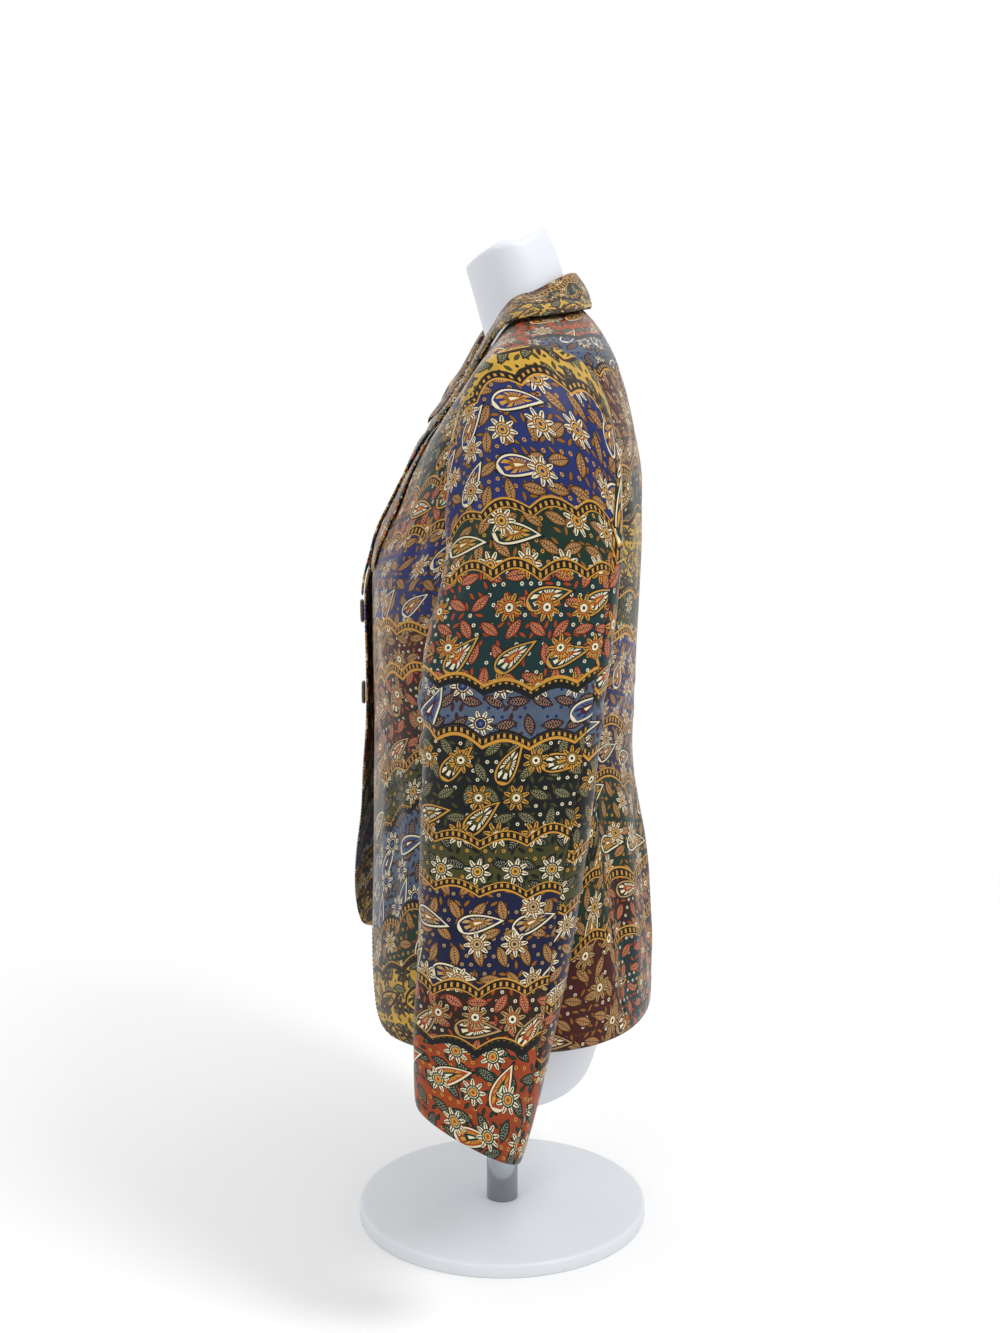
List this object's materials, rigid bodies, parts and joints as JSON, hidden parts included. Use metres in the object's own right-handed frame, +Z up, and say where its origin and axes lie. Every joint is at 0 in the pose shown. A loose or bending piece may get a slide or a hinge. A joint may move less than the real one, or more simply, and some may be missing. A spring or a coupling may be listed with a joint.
{
  "type": "tailored jacket on a dress form",
  "caption": "Tailored printed jacket with a roll collar, narrow lapels and two-piece sleeves, worn by a limbless white dress form on a round stand.",
  "frame": {"origin": "centre of the bounding box in X and Y, at the underside of the stand's plate", "axes": "+Z up, the wearer faces -Y, the wearer's left side is +X"},
  "size_m": [0.516, 0.258, 0.861],
  "materials": {
    "front_cloth": "satin",
    "side_cloth": "satin",
    "back_cloth": "satin",
    "sleeve_cloth": "satin",
    "under_sleeve_cloth": "satin",
    "collar_cloth": "satin",
    "lapel_cloth": "satin",
    "form_shell": "gloss",
    "stand_metal": "polished",
    "stand_plate": "satin",
    "button": "gloss"
  },
  "bodies": {
    "root": {"front_left": "front_cloth", "front_right": "front_cloth", "side_left": "side_cloth", "side_right": "side_cloth", "back_left": "back_cloth", "back_right": "back_cloth", "sleeve_upper_left": "sleeve_cloth", "sleeve_upper_right": "sleeve_cloth", "sleeve_under_left": "under_sleeve_cloth", "sleeve_under_right": "under_sleeve_cloth", "lapel_left": "lapel_cloth", "lapel_right": "lapel_cloth", "collar": "collar_cloth", "form": "form_shell", "stand_post": "stand_metal", "stand_base": "stand_plate", "button_1": "button", "button_2": "button"}
  },
  "joints": []
}
